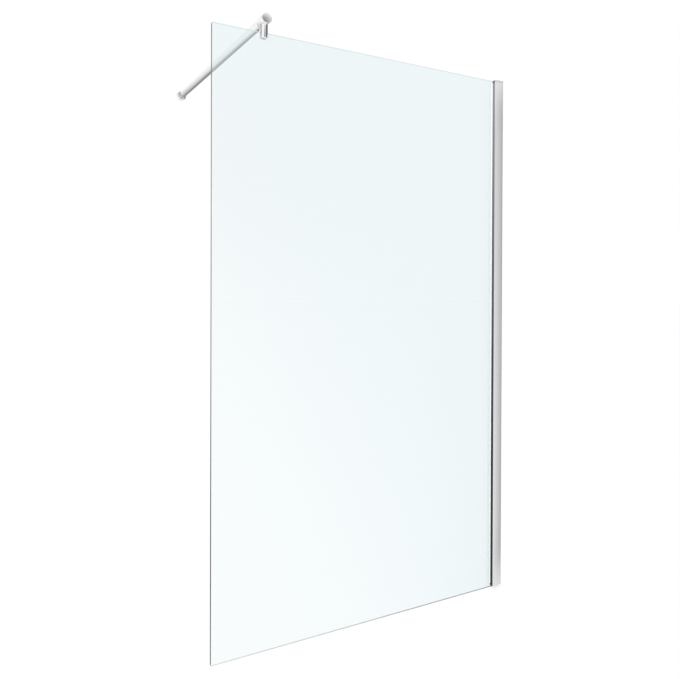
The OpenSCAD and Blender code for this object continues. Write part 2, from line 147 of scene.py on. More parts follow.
# Clamp
BARREL_R = 16.5
BARREL_BORE_R = BAR_R + BAR_FIT
BARREL_START = -25.5
BARREL_END = 22.5
DISC_FRONT = -27.5
DISC_DOME = 0.6
DISC_DOME_STEPS = 10
DISC_RIM = 1.3
DISC_SPIGOT_R = BARREL_BORE_R - 0.1
DISC_SPIGOT_END = -23.5
STEM_R = 12.75
GRIP_DEPTH = 17.5
STEM_BOTTOM = GLASS_HIGH - GRIP_DEPTH
PAD_INSET = 1.5
SLOT_FRONT = -5.65
SLOT_REAR = 6.65
SLOT_TOP = GLASS_HIGH + 1
GLASS_GRUB_R = 3.02
GLASS_GRUB_Z = (STEM_BOTTOM + PAD_INSET + GLASS_HIGH) / 2
BAR_GRUB_R = 2.52
BAR_GRUB_Y = BARREL_END - 6
BAR_GRUB_STOP = -8

# Knuckle at the end of the bar
SPIGOT_R = BAR_BORE_R - BAR_FIT
SPIGOT_START = BAR_END - 25
COLLAR_END = BAR_END + 4
KNUCKLE_GRUB_R = 2.02
KNUCKLE_GRUB_Y = BAR_END - 12
KNUCKLE_GRUB_DEPTH = 6.1
PIVOT_Y = BAR_REACH - 22
TONGUE_R = 7
TONGUE_HALF = 4
PIN_BORE_R = 3.05

# Flange cover on the second wall
FLANGE_R = 20
FLANGE_FRONT = BAR_REACH - 8
FLANGE_BACK = BAR_REACH - 0.1
FLANGE_WALL = 1.2
FLANGE_EDGE_R = 4.5
FLANGE_OPENING_R = 11.42

# Edges and shading, with angles in degrees
SHARP_ANGLE = 35
FLAT_ANGLE = 0.5
EASED_ANGLE = 40
WELD_DISTANCE = 0.002
CROSS_CUT = 6
FACE_ON = 0.99

# Tones that several finishes share
CHROME_DARK = (0.90, 0.905, 0.91)
CHROME_PALE = (0.94, 0.942, 0.945)

# Studio and camera, in metres and degrees
FILL_LIGHT = 0.9
FLOOR_Z = -0.0065
FLOOR_SIZE = 60
FLOOR_GLOW = 0.73
CAMERA_PLACE = (-1.7862, -1.9765, 1.1315)
CAMERA_YAW = -30.326
CAMERA_PITCH = -0.395
CAMERA_ROLL = -0.2

# The grey cloths round the white studio, as metal and glass reflect them. A cloth's middle is
# given as a turn from +Y towards +X and a tilt above the horizon. All angles are in degrees.
# The level says how bright it is.
Cloth = namedtuple("Cloth", "turn half_width side_fade tilt half_height end_fade level")
CLOTHS = (
    Cloth(turn=92, half_width=46, side_fade=8, tilt=-1.75, half_height=30.25, end_fade=8,
          level=0.12),
    Cloth(turn=170, half_width=20, side_fade=14, tilt=14, half_height=12, end_fade=9,
          level=0.30),
    Cloth(turn=-76, half_width=26, side_fade=7, tilt=24, half_height=16, end_fade=8,
          level=0.22),
    Cloth(turn=26, half_width=40, side_fade=34, tilt=-22, half_height=28, end_fade=10,
          level=0.28),
)


class Wire:
    """A value in a node tree. Arithmetic on it adds Math nodes."""

    def __init__(self, nodes, socket):
        self.nodes = nodes
        self.socket = socket

    def math(self, operation, first, second):
        return self.nodes.add("Math", {"operation": operation}, {0: first, 1: second})

    def __add__(self, other):
        return self.math("ADD", self, other)

    def __radd__(self, other):
        return self.math("ADD", other, self)

    def __sub__(self, other):
        return self.math("SUBTRACT", self, other)

    def __rsub__(self, other):
        return self.math("SUBTRACT", other, self)

    def __mul__(self, other):
        return self.math("MULTIPLY", self, other)

    def __rmul__(self, other):
        return self.math("MULTIPLY", other, self)

    def __truediv__(self, other):
        return self.math("DIVIDE", self, other)

    def __pow__(self, other):
        return self.math("POWER", self, other)

    def largest(self, other):
        return self.math("MAXIMUM", self, other)

    def smallest(self, other):
        return self.math("MINIMUM", self, other)


class Nodes:
    """The node tree of a material or of the world, filled one node at a time."""

    def __init__(self, owner):
        owner.use_nodes = True
        self.tree = owner.node_tree
        self.tree.nodes.clear()

    def add(self, kind, settings=None, inputs=None, out=0):
        """A new node: its settings first, and then its values and links."""
        node = self.tree.nodes.new("ShaderNode" + kind)
        for name, value in (settings or {}).items():
            if name == "stops":
                self.set_stops(node.color_ramp, value)
            else:
                setattr(node, name, value)
        for name, value in (inputs or {}).items():
            if isinstance(value, Wire):
                self.tree.links.new(value.socket, node.inputs[name])
            else:
                node.inputs[name].default_value = value
        return Wire(self, node.outputs[out]) if len(node.outputs) else node

    def set_stops(self, ramp, stops):
        """Fills a colour ramp, which starts with two stops."""
        for place, colour in stops[2:]:
            ramp.elements.new(place)
        for element, (place, colour) in zip(ramp.elements, stops):
            element.position = place
            element.color = (*colour, 1)

    def coordinates(self, kind="Object"):
        return self.add("TexCoord", out=kind)

    def along(self, axis, kind="Object"):
        """The point's X, Y or Z: its place in metres, or another kind of coordinate."""
        return self.add("SeparateXYZ", inputs={0: self.coordinates(kind)}, out=axis)

    def noise(self, scale, stretch=(1, 1, 1), detail=3, roughness=0.5):
        spread = self.add("Mapping", inputs={"Vector": self.coordinates(), "Scale": stretch})
        values = {"Vector": spread, "Scale": scale, "Detail": detail, "Roughness": roughness}
        return self.add("TexNoise", inputs=values, out="Fac")

    def ramp(self, value, low, high):
        """From 0 where the value is low to 1 where it is high, with soft ends."""
        values = {"Value": value, "From Min": low, "From Max": high}
        return self.add("MapRange", {"interpolation_type": "SMOOTHSTEP"}, values)

    def blend(self, share, first, second):
        """The first colour where the share is 0, and the second where it is 1."""
        values = {0: share}
        for socket, colour in ((6, first), (7, second)):
            values[socket] = colour if isinstance(colour, Wire) else (*colour, 1)
        return self.add("Mix", {"data_type": "RGBA"}, values, out=2)

    def colours_along(self, value, stops):
        """A colour that changes through stops, each with its place and its colour."""
        return self.add("ValToRGB", {"stops": stops}, {"Fac": value})

    def bump(self, height, distance, strength):
        values = {"Height": height, "Distance": distance, "Strength": strength}
        return self.add("Bump", inputs=values)

    def principled(self, values):
        return self.add("BsdfPrincipled", inputs=values)

    def light_path(self, name):
        return self.add("LightPath", out=name)


def finish(name, build):
    """A material whose nodes are filled in by a function."""
    material = bpy.data.materials.new(name)
    nodes = Nodes(material)
    nodes.add("OutputMaterial", inputs={"Surface": build(nodes)})
    return material


def satin_aluminium(nodes):
    """Drawn aluminium with fine die lines, paler on the ends of the channel's legs."""
    die_lines = nodes.noise(2600, stretch=(1, 1, 0.002), detail=4, roughness=0.6)
    cloud = nodes.noise(9, stretch=(1, 1, 0.35), detail=2)
    leg_end = nodes.ramp(nodes.along("X"), (1 - CHANNEL_D) * MM, (0.1 - CHANNEL_D) * MM)
    tone = nodes.blend(cloud * 0.6 + die_lines * 0.4, (0.80, 0.80, 0.81), (0.86, 0.86, 0.865))
    return nodes.principled({
        "Base Color": nodes.blend(leg_end * 0.5, tone, (0.90, 0.90, 0.905)),
        "Metallic": 0.55,
        "Roughness": 0.19 + die_lines * 0.08,
        "Normal": nodes.bump(die_lines, distance=0.00002, strength=0.35),
    })


def silver_plastic(nodes):
    grain = nodes.noise(3200)
    mottle = nodes.noise(160)
    return nodes.principled({
        "Base Color": nodes.blend(mottle, (0.80, 0.80, 0.81), (0.87, 0.87, 0.875)),
        "Metallic": 0.6,
        "Roughness": 0.36 + grain * 0.14,
        "Normal": nodes.bump(grain, distance=0.00003, strength=0.4),
    })


def chrome(nodes, stretch=(1, 1, 1)):
    smear = nodes.noise(55, stretch)
    polish = nodes.noise(900, stretch, roughness=0.6)
    return nodes.principled({
        "Base Color": nodes.blend(smear, CHROME_DARK, CHROME_PALE),
        "Metallic": 1.0,
        "Roughness": 0.07 + smear * 0.08 + polish * 0.02,
        "Normal": nodes.bump(polish, distance=0.000004, strength=0.3),
    })


def chrome_along_bar(nodes):
    """Chrome that was polished lengthwise."""
    return chrome(nodes, stretch=(1, 0.02, 1))


def chrome_knuckle(nodes):
    """Chrome, with painted shade on the collar where the tube ends, for the shadowed gap before
    the flange.
    """
    smear = nodes.noise(60)
    y = nodes.along("Y")
    # Painted shade: the collar between the tube's end and the tongue is painted near black
    collar_shade_starts = nodes.ramp(y, (BAR_END - 0.1) * MM, (BAR_END + 0.1) * MM)
    collar_shade_lasts = nodes.ramp(y, (COLLAR_END - 0.1) * MM, (COLLAR_END - 0.3) * MM)
    tone = nodes.blend(smear, CHROME_DARK, CHROME_PALE)
    return nodes.principled({
        "Base Color": nodes.blend(collar_shade_starts * collar_shade_lasts, tone, (0.16, 0.16, 0.165)),
        "Metallic": 1.0,
        "Roughness": 0.08 + smear * 0.08,
        "Normal": nodes.bump(smear, distance=0.00002, strength=0.2),
    })


def satin_zinc(nodes):
    blast = nodes.noise(2600)
    cloud = nodes.noise(90, detail=2)
    return nodes.principled({
        "Base Color": nodes.blend(cloud, (0.84, 0.84, 0.85), (0.92, 0.92, 0.925)),
        "Metallic": 0.35,
        "Roughness": 0.34 + blast * 0.16,
        "Normal": nodes.bump(blast, distance=0.00002, strength=0.3),
    })


def plain_steel(nodes):
    turning = nodes.noise(1800, stretch=(1, 1, 0.1))
    stain = nodes.noise(130, detail=2)
    return nodes.principled({
        "Base Color": nodes.blend(stain, (0.70, 0.70, 0.71), (0.80, 0.80, 0.81)),
        "Metallic": 0.8,
        "Roughness": 0.24 + turning * 0.16,
        "Normal": nodes.bump(turning, distance=0.00001, strength=0.3),
    })


def black_plastic(nodes):
    grain = nodes.noise(2400)
    return nodes.principled({
        "Base Color": nodes.blend(grain, (0.035, 0.035, 0.038), (0.07, 0.07, 0.075)),
        "Roughness": 0.42 + grain * 0.2,
        "Normal": nodes.bump(grain, distance=0.00004, strength=0.5),
    })


def milky_plastic(nodes):
    flow = nodes.noise(300)
    return nodes.principled({
        "Base Color": nodes.blend(flow, (0.78, 0.81, 0.82), (0.88, 0.90, 0.91)),
        "Roughness": 0.30 + flow * 0.15,
        "Normal": nodes.bump(flow, distance=0.00003, strength=0.3),
    })


def clear_seal(nodes):
    """Soft see-through seal, almost white beside the metal, with a painted glow: faint all over,
    and strong on its faces against the glass, where it is dimmer in the light.
    """
    fibre = nodes.noise(2200, stretch=(1, 1, 0.02))
    cloud = nodes.noise(30, stretch=(1, 1, 0.2), detail=2)
    glow_against_glass = nodes.ramp(nodes.along("Y"), (GLASS_HALF + 0.6) * MM, (GLASS_HALF + 0.2) * MM)
    return nodes.principled({
        "Base Color": nodes.blend(cloud, (0.94, 0.955, 0.96), (0.97, 0.98, 0.985)),
        # Painted glow, though the seal is no lamp: faint everywhere, and strong on the faces
        # against the glass
        "Emission Color": nodes.blend(glow_against_glass, (0.15, 0.15, 0.15), (0.98, 1.0, 1.0)),
        "Emission Strength": 1.0,
        "Roughness": 0.25 + fibre * 0.15,
        "Normal": nodes.bump(fibre, distance=0.00003, strength=0.3),
    })


def seal_rubber(nodes):
    """Black rubber with painted light by height: black in painted shade at the foot, lightening
    to a painted grey sheen towards the top, and painted shade again at its very end.
    """
    z = nodes.along("Z")
    bloom = nodes.noise(40, stretch=(1, 1, 0.05))
    fibre = nodes.noise(2200, stretch=(1, 1, 0.02))
    # Painted light by height: shade at the foot, and a grey painted sheen towards the top
    height_shade = nodes.colours_along(z / (SCREEN_H * MM), [
        (0.00, (0.020, 0.020, 0.022)),
        (0.22, (0.024, 0.024, 0.026)),
        (0.45, (0.060, 0.060, 0.063)),
        (0.66, (0.150, 0.149, 0.155)),
        (0.84, (0.270, 0.266, 0.276)),
        (1.00, (0.380, 0.375, 0.388)),
    ])
    shade = nodes.blend(bloom * 0.2, height_shade, (0.10, 0.10, 0.105))
    # Painted shade at the very top, under the cap's rounded corner
    end = nodes.ramp(z, (CHANNEL_TOP - 8) * MM, (CHANNEL_TOP + 2) * MM)
    return nodes.principled({
        "Base Color": nodes.blend(end * 0.65, shade, (0.030, 0.030, 0.032)),
        "Roughness": 0.45 + fibre * 0.15,
        "Specular IOR Level": 0.25,
        "Normal": nodes.bump(fibre, distance=0.00003, strength=0.3),
    })


def clear_glass(nodes):
    """Faintly green, with a painted reflection that makes it paler towards the lower free corner.
    """
    from_wall = nodes.along("X") / (-SCREEN_W * MM)
    down = 1 - nodes.along("Z") / (SCREEN_H * MM)
    # Painted reflection: a diagonal gradient over the pane, paler towards the lower free corner
    clear = (from_wall * 1.33 + down * 0.95 - 0.9).smallest(1).largest(0)
    wave = nodes.noise(2.2, stretch=(1, 1, 1.6), detail=2)
    return nodes.principled({
        "Base Color": nodes.blend(clear, (0.885, 0.952, 0.967), (0.946, 0.982, 0.990)),
        "Roughness": 0.0,
        "IOR": 1.5,
        "Transmission Weight": 0.86,
        "Normal": nodes.bump(wave, distance=0.0004, strength=0.25),
    })


def glass_edge(nodes):
    """The ground and polished edge, dark green of its own, with painted light and shade: dark
    along the free side with tones by height, darker towards the wall along the foot, and pale
    along the top.
    """
    z = nodes.along("Z")
    grind = nodes.noise(1500)
    # Painted light and shade on the free side's edge, by height
    edge_shade_by_height = nodes.colours_along(z / (SCREEN_H * MM), [
        (0.00, (0.110, 0.130, 0.130)),
        (0.12, (0.020, 0.026, 0.026)),
        (0.25, (0.030, 0.038, 0.038)),
        (0.45, (0.210, 0.230, 0.230)),
        (0.70, (0.310, 0.330, 0.330)),
        (1.00, (0.170, 0.185, 0.185)),
    ])
    # Painted shade along the foot's edge, darker towards the wall
    foot_edge_shade = nodes.colours_along(nodes.along("X") / (-SCREEN_W * MM), [
        (0.00, (0.020, 0.026, 0.026)),
        (0.35, (0.090, 0.110, 0.110)),
        (0.60, (0.420, 0.460, 0.460)),
        (1.00, (0.640, 0.680, 0.680)),
    ])
    foot = nodes.ramp(z, (GLASS_LOW + 2) * MM, (GLASS_LOW + 0.9) * MM)
    top = nodes.ramp(z, (GLASS_HIGH - 2) * MM, (GLASS_HIGH - 0.9) * MM)
    # Painted pale light along the top edge
    tone = nodes.blend(top, nodes.blend(foot, edge_shade_by_height, foot_edge_shade), (0.86, 0.91, 0.92))
    return nodes.principled({
        "Base Color": nodes.blend(grind * 0.08, tone, (0.30, 0.40, 0.38)),
        "Roughness": 0.16 + grind * 0.12,
        "Specular IOR Level": 0.08,
        "Normal": nodes.bump(grind, distance=0.00002, strength=0.3),
    })


ALUMINIUM = finish("satin_aluminium", satin_aluminium)
SILVER_PLASTIC = finish("silver_plastic", silver_plastic)
CHROME = finish("chrome", chrome)
CHROME_BAR = finish("chrome_along_bar", chrome_along_bar)
CHROME_KNUCKLE = finish("chrome_knuckle", chrome_knuckle)
ZINC = finish("satin_zinc", satin_zinc)
STEEL = finish("plain_steel", plain_steel)
BLACK_PLASTIC = finish("black_plastic", black_plastic)
MILKY_PLASTIC = finish("milky_plastic", milky_plastic)
SEAL_RUBBER = finish("seal_rubber", seal_rubber)
CLEAR_SEAL = finish("clear_seal", clear_seal)
GLASS = finish("clear_glass", clear_glass)
GLASS_EDGE = finish("glass_edge", glass_edge)


def box(low, high):
    """A box between two corners."""
    bm = bmesh.new()
    low, high = Vector(low), Vector(high)
    bmesh.ops.create_cube(bm, size=1)
    bmesh.ops.scale(bm, vec=high - low, verts=bm.verts)
    bmesh.ops.translate(bm, vec=(low + high) / 2, verts=bm.verts)
    return bm


def turned(points, closed=False, steps=TURNED_STEPS):
    """A shape turned about Z from points given as radius and height."""
    bm = bmesh.new()
    verts = [bm.verts.new((radius, 0, height)) for radius, height in points]
    pairs = list(zip(verts, verts[1:] + verts[:1] if closed else verts[1:]))
    edges = [bm.edges.new(pair) for pair in pairs]
    bmesh.ops.spin(bm, geom=verts + edges, cent=(0, 0, 0), axis=(0, 0, 1),
                   angle=FULL_TURN, steps=steps, use_merge=True)
    bmesh.ops.remove_doubles(bm, verts=bm.verts, dist=0.001)
    bmesh.ops.recalc_face_normals(bm, faces=bm.faces)
    return bm


def rod(radius, low, high, steps=ROD_STEPS):
    """A cylinder about Z."""
    return turned([(0, low), (radius, low), (radius, high), (0, high)], steps=steps)


def prism(outline, low, high):
    """An outline in X and Y, raised from low to high."""
    bm = bmesh.new()
    face = bm.faces.new([bm.verts.new((x, y, low)) for x, y in outline])
    raised = bmesh.ops.extrude_face_region(bm, geom=[face])["geom"]
    top = [v for v in raised if isinstance(v, bmesh.types.BMVert)]
    bmesh.ops.translate(bm, vec=(0, 0, high - low), verts=top)
    bmesh.ops.recalc_face_normals(bm, faces=bm.faces)
    return bm


def moved(bm, *steps):
    """The shape after each step in turn, first to last."""
    for step in steps:
        bmesh.ops.transform(bm, matrix=step, verts=bm.verts)
    return bm


def shift(x, y, z):
    return Matrix.Translation((x, y, z))


def on_bar(y):
    """The shift from the origin to a place on the bar's axis."""
    return shift(BAR_X, y, BAR_Z)


def half_step(steps):
    """A turn by half a step, so that flat sides face along X and along Y."""
    return Matrix.Rotation(FULL_TURN / (2 * steps), 4, "Z")


LAID_ALONG_X = Matrix.Rotation(math.pi / 2, 4, "Y")
LAID_ALONG_Y = Matrix.Rotation(-math.pi / 2, 4, "X")
ALONG_BAR = (LAID_ALONG_Y, on_bar(0))


def stretched(bm, step, where):
    """The shape with the points that a test picks moved by a step."""
    bmesh.ops.translate(bm, vec=step, verts=[v for v in bm.verts if where(v.co)])
    return bm


def soften(bm, width, segments=2, where=None, least=30):
    """Rounds the edges that are sharper than an angle."""
    limit = math.radians(least)
    edges = [e for e in bm.edges if len(e.link_faces) == 2 and e.calc_face_angle() > limit]
    if where:
        edges = [e for e in edges if where((e.verts[0].co + e.verts[1].co) / 2)]
    bmesh.ops.bevel(bm, geom=edges, offset=width, offset_type="OFFSET", segments=segments,
                    profile=0.5, affect="EDGES", material=-1, clamp_overlap=True)
    return bm


def cross_cuts(bm, heights):
    """Edges across a long shape, which keep its shading even beside a hole."""
    for height in heights:
        bmesh.ops.bisect_plane(bm, geom=[*bm.verts, *bm.edges, *bm.faces],
                               plane_co=(0, 0, height), plane_no=(0, 0, 1))


def gathered(shapes):
    """One shape that holds several."""
    whole = bmesh.new()
    for shape in shapes:
        mesh = bpy.data.meshes.new("shape")
        shape.to_mesh(mesh)
        shape.free()
        whole.from_mesh(mesh)
        bpy.data.meshes.remove(mesh)
    return whole


def loose_object(bm, name):
    """An object of a shape, in the scene."""
    mesh = bpy.data.meshes.new(name)
    bm.to_mesh(mesh)
    bm.free()
    made = bpy.data.objects.new(name, mesh)
    bpy.context.scene.collection.objects.link(made)
    return made


def fitted(bm, tools, operation="DIFFERENCE"):
    """The shape with each tool cut away, or joined on."""
    host = loose_object(bm, "host")
    helpers = [loose_object(tool, "tool") for tool in tools]
    for helper in helpers:
        step = host.modifiers.new("step", "BOOLEAN")
        step.operation = operation
        step.object = helper
        step.solver = "EXACT"
    result = bmesh.new()
    result.from_object(host, bpy.context.evaluated_depsgraph_get())
    for used in [host, *helpers]:
        bpy.data.objects.remove(used)
    bmesh.ops.remove_doubles(result, verts=result.verts, dist=0.0005)
    return result


def piece(name, bm, body, node, slot, *materials):
    """Finishes a shape as a piece that rides on a body and stands for a CAD node."""
    bmesh.ops.scale(bm, vec=(MM, MM, MM), verts=bm.verts)
    made = loose_object(bm, name)
    made.data.shade_smooth()
    made.data.set_sharp_from_angle(angle=math.radians(SHARP_ANGLE))
    for material in materials:
        made.data.materials.append(material)
    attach(made, body)
    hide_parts(node)
    return made


def make_glass():
    """The pane, with two rounded free corners and a fine arris on every edge."""
    bm = box((-SCREEN_W, -GLASS_HALF, GLASS_LOW), (-GLASS_END, GLASS_HALF, GLASS_HIGH))
    corners = [e for e in bm.edges if all(v.co.x < -SCREEN_W + NEAR for v in e.verts)
               and e.verts[0].co.z == e.verts[1].co.z]
    bmesh.ops.bevel(bm, geom=corners, offset=GLASS_CORNER_R, offset_type="OFFSET",
                    segments=12, profile=0.5, affect="EDGES", material=-1)
    soften(bm, ARRIS, segments=1, least=45)
    bm.normal_update()
    for face in bm.faces:
        face.material_index = 0 if abs(face.normal.y) > FACE_ON else 1
    glass = piece("glass", bm, "glass_side", "glass_panel", "clear_glass", GLASS, GLASS_EDGE)
    glass.visible_shadow = False
    glass.visible_diffuse = False


def crowned_side(side, steps=8):
    """Points of a gently crowned outside face, from the wall to the mouth."""
    points = []
    for i in range(steps + 1):
        x = -CHANNEL_D * i / steps
        off_middle = (x + CHANNEL_D / 2) / (CHANNEL_D / 2)
        points.append((x, side * (CHANNEL_HALF - CROWN * off_middle ** 2)))
    return points


def hole_tool(radius):
    """A cylinder for a hole, with its middle at the origin."""
    return rod(radius, -HOLE_REACH, HOLE_REACH, HOLE_STEPS)


def channel_slot(z):
    """The tool for one slot, which lets a fixing screw travel."""
    bm = moved(hole_tool(SLOT_R), half_step(HOLE_STEPS))
    stretched(bm, (-SLOT_TRAVEL, 0, 0), lambda at: at.x < 0 and at.xy.length > NEAR)
    return moved(bm, LAID_ALONG_Y, shift(FIXING_X, CHANNEL_HALF, z))


def make_channel():
    """The wall channel: crowned sides, rounded lips, wall holes and fixing slots."""
    inside = [(-CHANNEL_D, CHANNEL_INSIDE), (-CHANNEL_BASE_T, CHANNEL_INSIDE),
              (-CHANNEL_BASE_T, -CHANNEL_INSIDE), (-CHANNEL_D, -CHANNEL_INSIDE)]
    outline = crowned_side(1) + inside + crowned_side(-1)[::-1]
    bm = prism(outline, 0, CHANNEL_TOP)
    soften(bm, width=0.4, segments=3,
           where=lambda at: at.x < -CHANNEL_D + NEAR and NEAR < at.z < CHANNEL_TOP - NEAR)
    holes = [moved(hole_tool(WALL_HOLE_R), LAID_ALONG_X, shift(-1, 0, z)) for z in WALL_HOLES]
    slots = [channel_slot(z) for z in FIXINGS]
    cross_cuts(bm, [z + step for z in FIXINGS for step in (-CROSS_CUT, CROSS_CUT)])
    bm = fitted(bm, holes + slots)
    soften(bm, width=0.18, least=45)
    piece("channel", bm, "wall_side", "wall_channel", "aluminium", ALUMINIUM)


def make_top_cap():
    """The moulded cap, which carries the channel's section up to its rounded front."""
    outline = crowned_side(1) + crowned_side(-1)[::-1]
    bm = prism(outline, CHANNEL_TOP, CAP_TOP)
    soften(bm, CAP_CORNER_R, segments=10,
           where=lambda at: at.x < -CHANNEL_D + NEAR and at.z > CAP_TOP - NEAR)
    front, low, high = -CHANNEL_D - OVERCUT, CHANNEL_TOP - OVERCUT, CAP_TOP + OVERCUT
    slot = box((front, -CAP_SLOT_HALF, low), (OVERCUT - GLASS_END, CAP_SLOT_HALF, high))
    recess_half = LIP_HALF + CAP_GAP
    recess = box((front, -recess_half, low), (LIP_BACK_X + CAP_GAP, recess_half, high))
    bm = fitted(bm, [slot, recess])
    soften(bm, width=0.25, least=45)
    back = -CHANNEL_BASE_T - TONGUE_FIT
    half = CHANNEL_INSIDE - TONGUE_FIT
    tongue = box((back - TONGUE_T, -half, CHANNEL_TOP - TONGUE_L),
                 (back, half, CHANNEL_TOP + TONGUE_ROOT))
    bm = fitted(bm, [soften(tongue, width=0.4)], "UNION")
    piece("cap", bm, "wall_side", "top_cap", "silver_plastic", SILVER_PLASTIC)


def lip_plate(front, back, side, inset=0):
    """A plate in front of the mouth, with its top rounded like the cap's front corner."""
    corner_x = LIP_X + LIP_CORNER_R
    corner_z = CAP_TOP - CAP_CORNER_R
    r = LIP_CORNER_R - inset
    first, last = (math.acos(min(1, (corner_x - x) / r)) for x in (front, back))
    turns = [first + (last - first) * i / LIP_ARC_STEPS for i in range(LIP_ARC_STEPS + 1)]
    arc = [(corner_x - r * math.cos(turn), corner_z + r * math.sin(turn)) for turn in turns]
    low = LIP_LOW + inset
    bm = prism([(back, low), (front, low)] + arc, -side, -GLASS_SIDE - inset)
    return moved(bm, Matrix.Rotation(math.pi / 2, 4, "X"))


def make_seal(side, name, node, slot, material):
    """A rounded lip over the channel's mouth and its cap, and a tail beside the glass."""
    lip = lip_plate(LIP_X, LIP_STEP_X, LIP_SIDE)
    soften(lip, width=0.5, segments=4, least=60,
           where=lambda at: at.x < LIP_STEP_X - NEAR and at.z > LIP_LOW + NEAR)
    root = lip_plate(LIP_STEP_X - 0.2, LIP_BACK_X, LIP_HALF, JOIN)
    root_x = LIP_STEP_X - 0.1
    near = GLASS_SIDE + 2 * JOIN
    tail = prism([(root_x, near), (root_x, TAIL_ROOT_HALF), (LIP_BACK_X, TAIL_ROOT_HALF),
                  (TAIL_X, TAIL_TIP_HALF), (TAIL_X, near)], TAIL_LOW, TAIL_HIGH)
    bm = fitted(lip, [root, tail], "UNION")
    if side < 0:
        bmesh.ops.scale(bm, vec=(1, -1, 1), verts=bm.verts)
        bmesh.ops.recalc_face_normals(bm, faces=bm.faces)
    piece(name, bm, "glass_side", node, slot, material)


def screw_cover(z):
    """The outside and the lining of one domed cap, over the fixing screw at a height."""
    dome_r = COVER_R - COVER_DOME
    dome_low = COVER_HIGH - COVER_DOME
    outside = [(COVER_OPENING_R, COVER_LOW), (COVER_R, COVER_LOW),
               (COVER_R, dome_low - COVER_EDGE)]
    outside += [(dome_r * math.cos(a), dome_low + COVER_DOME * math.sin(a))
                for a in [math.radians(d) for d in range(0, 90, 10)]]
    outside += [(0, COVER_HIGH)]
    lining = [(0, COVER_POCKET_HIGH), (COVER_POCKET_R, COVER_POCKET_HIGH),
              (COVER_POCKET_R, COVER_OPENING_HIGH), (COVER_OPENING_R, COVER_OPENING_HIGH),
              (COVER_OPENING_R, COVER_LOW)]
    return [moved(turned(points, steps=COVER_STEPS), LAID_ALONG_Y,
                  shift(FIXING_X, CHANNEL_HALF, z)) for points in (outside, lining)]


def make_screw_covers():
    """Three domed caps over the fixing screws."""
    bm = gathered([shape for z in FIXINGS for shape in screw_cover(z)])
    bmesh.ops.remove_doubles(bm, verts=bm.verts, dist=0.001)
    bmesh.ops.recalc_face_normals(bm, faces=bm.faces)
    soften(bm, width=0.3, segments=3, least=40)
    piece("screw_caps", bm, "glass_side", "screw_covers", "chrome", CHROME)


def make_clamp():
    """The T of the clamp: a barrel on a stem, with the glass slot and its bores."""
    barrel = rod(BARREL_R, BARREL_START, BARREL_END, BARREL_STEPS)
    soften(barrel, width=1.0, segments=4, where=lambda at: at.z > BARREL_END - NEAR)
    moved(barrel, *ALONG_BAR)
    stem = rod(STEM_R, STEM_BOTTOM, BAR_Z, BARREL_STEPS)
    soften(stem, width=1.2, segments=5, where=lambda at: at.z < STEM_BOTTOM + NEAR)
    moved(stem, shift(BAR_X, 0, 0))
    bm = fitted(barrel, [stem], "UNION")
    bore = rod(BARREL_BORE_R, BARREL_START - OVERCUT, BARREL_END + OVERCUT, BARREL_STEPS)
    moved(bore, *ALONG_BAR)
    reach = STEM_R + 2 * OVERCUT
    slot = box((BAR_X - reach, SLOT_FRONT, STEM_BOTTOM - OVERCUT),
               (BAR_X + reach, SLOT_REAR, SLOT_TOP))
    glass_grub = moved(rod(GLASS_GRUB_R, SLOT_REAR - OVERCUT, reach, GRUB_STEPS),
                       LAID_ALONG_Y, shift(BAR_X, 0, GLASS_GRUB_Z))
    bar_grub = moved(rod(BAR_GRUB_R, -BARREL_R - OVERCUT, BAR_GRUB_STOP, GRUB_STEPS),
                     on_bar(BAR_GRUB_Y))
    bm = fitted(bm, [bore, slot, glass_grub, bar_grub])
    soften(bm, width=0.25, least=50)
    piece("clamp", bm, "bar_clamp", "clamp_body", "chrome", CHROME)


def make_end_cap():
    """The disc that closes the barrel, faintly domed, with a rounded rim."""
    flat = BARREL_R - DISC_RIM
    shares = [i / DISC_DOME_STEPS for i in range(DISC_DOME_STEPS + 1)]
    dome = [(flat * share, DISC_FRONT + DISC_DOME * share ** 2) for share in shares]
    edge = DISC_FRONT + DISC_DOME + DISC_RIM
    arc = [(flat + DISC_RIM * math.sin(a), edge - DISC_RIM * math.cos(a))
           for a in [math.radians(d) for d in (18, 36, 54, 72, 90)]]
    back = [(BARREL_R, BARREL_START), (DISC_SPIGOT_R, BARREL_START),
            (DISC_SPIGOT_R, DISC_SPIGOT_END), (0, DISC_SPIGOT_END)]
    bm = turned(dome + arc + back, steps=BARREL_STEPS)
    soften(bm, width=0.15, least=50)
    moved(bm, *ALONG_BAR)
    piece("end_disc", bm, "bar_clamp", "clamp_end_cap", "chrome", CHROME)


def make_bar():
    """The tube, with the bore and the hole for the knuckle's grub screw."""
    points = [(BAR_BORE_R, BAR_START), (BAR_R, BAR_START), (BAR_R, BAR_END),
              (BAR_BORE_R, BAR_END)]
    bm = soften(turned(points, closed=True), width=0.25)
    cross_cuts(bm, (KNUCKLE_GRUB_Y - CROSS_CUT, KNUCKLE_GRUB_Y + CROSS_CUT))
    moved(bm, *ALONG_BAR)
    hole = moved(rod(KNUCKLE_GRUB_R, -BAR_R - OVERCUT, -BAR_R + BAR_HOLE_DEPTH, HOLE_STEPS),
                 on_bar(KNUCKLE_GRUB_Y))
    bm = fitted(bm, [hole])
    piece("bar_tube", bm, "bar", "support_bar", "chrome", CHROME_BAR)


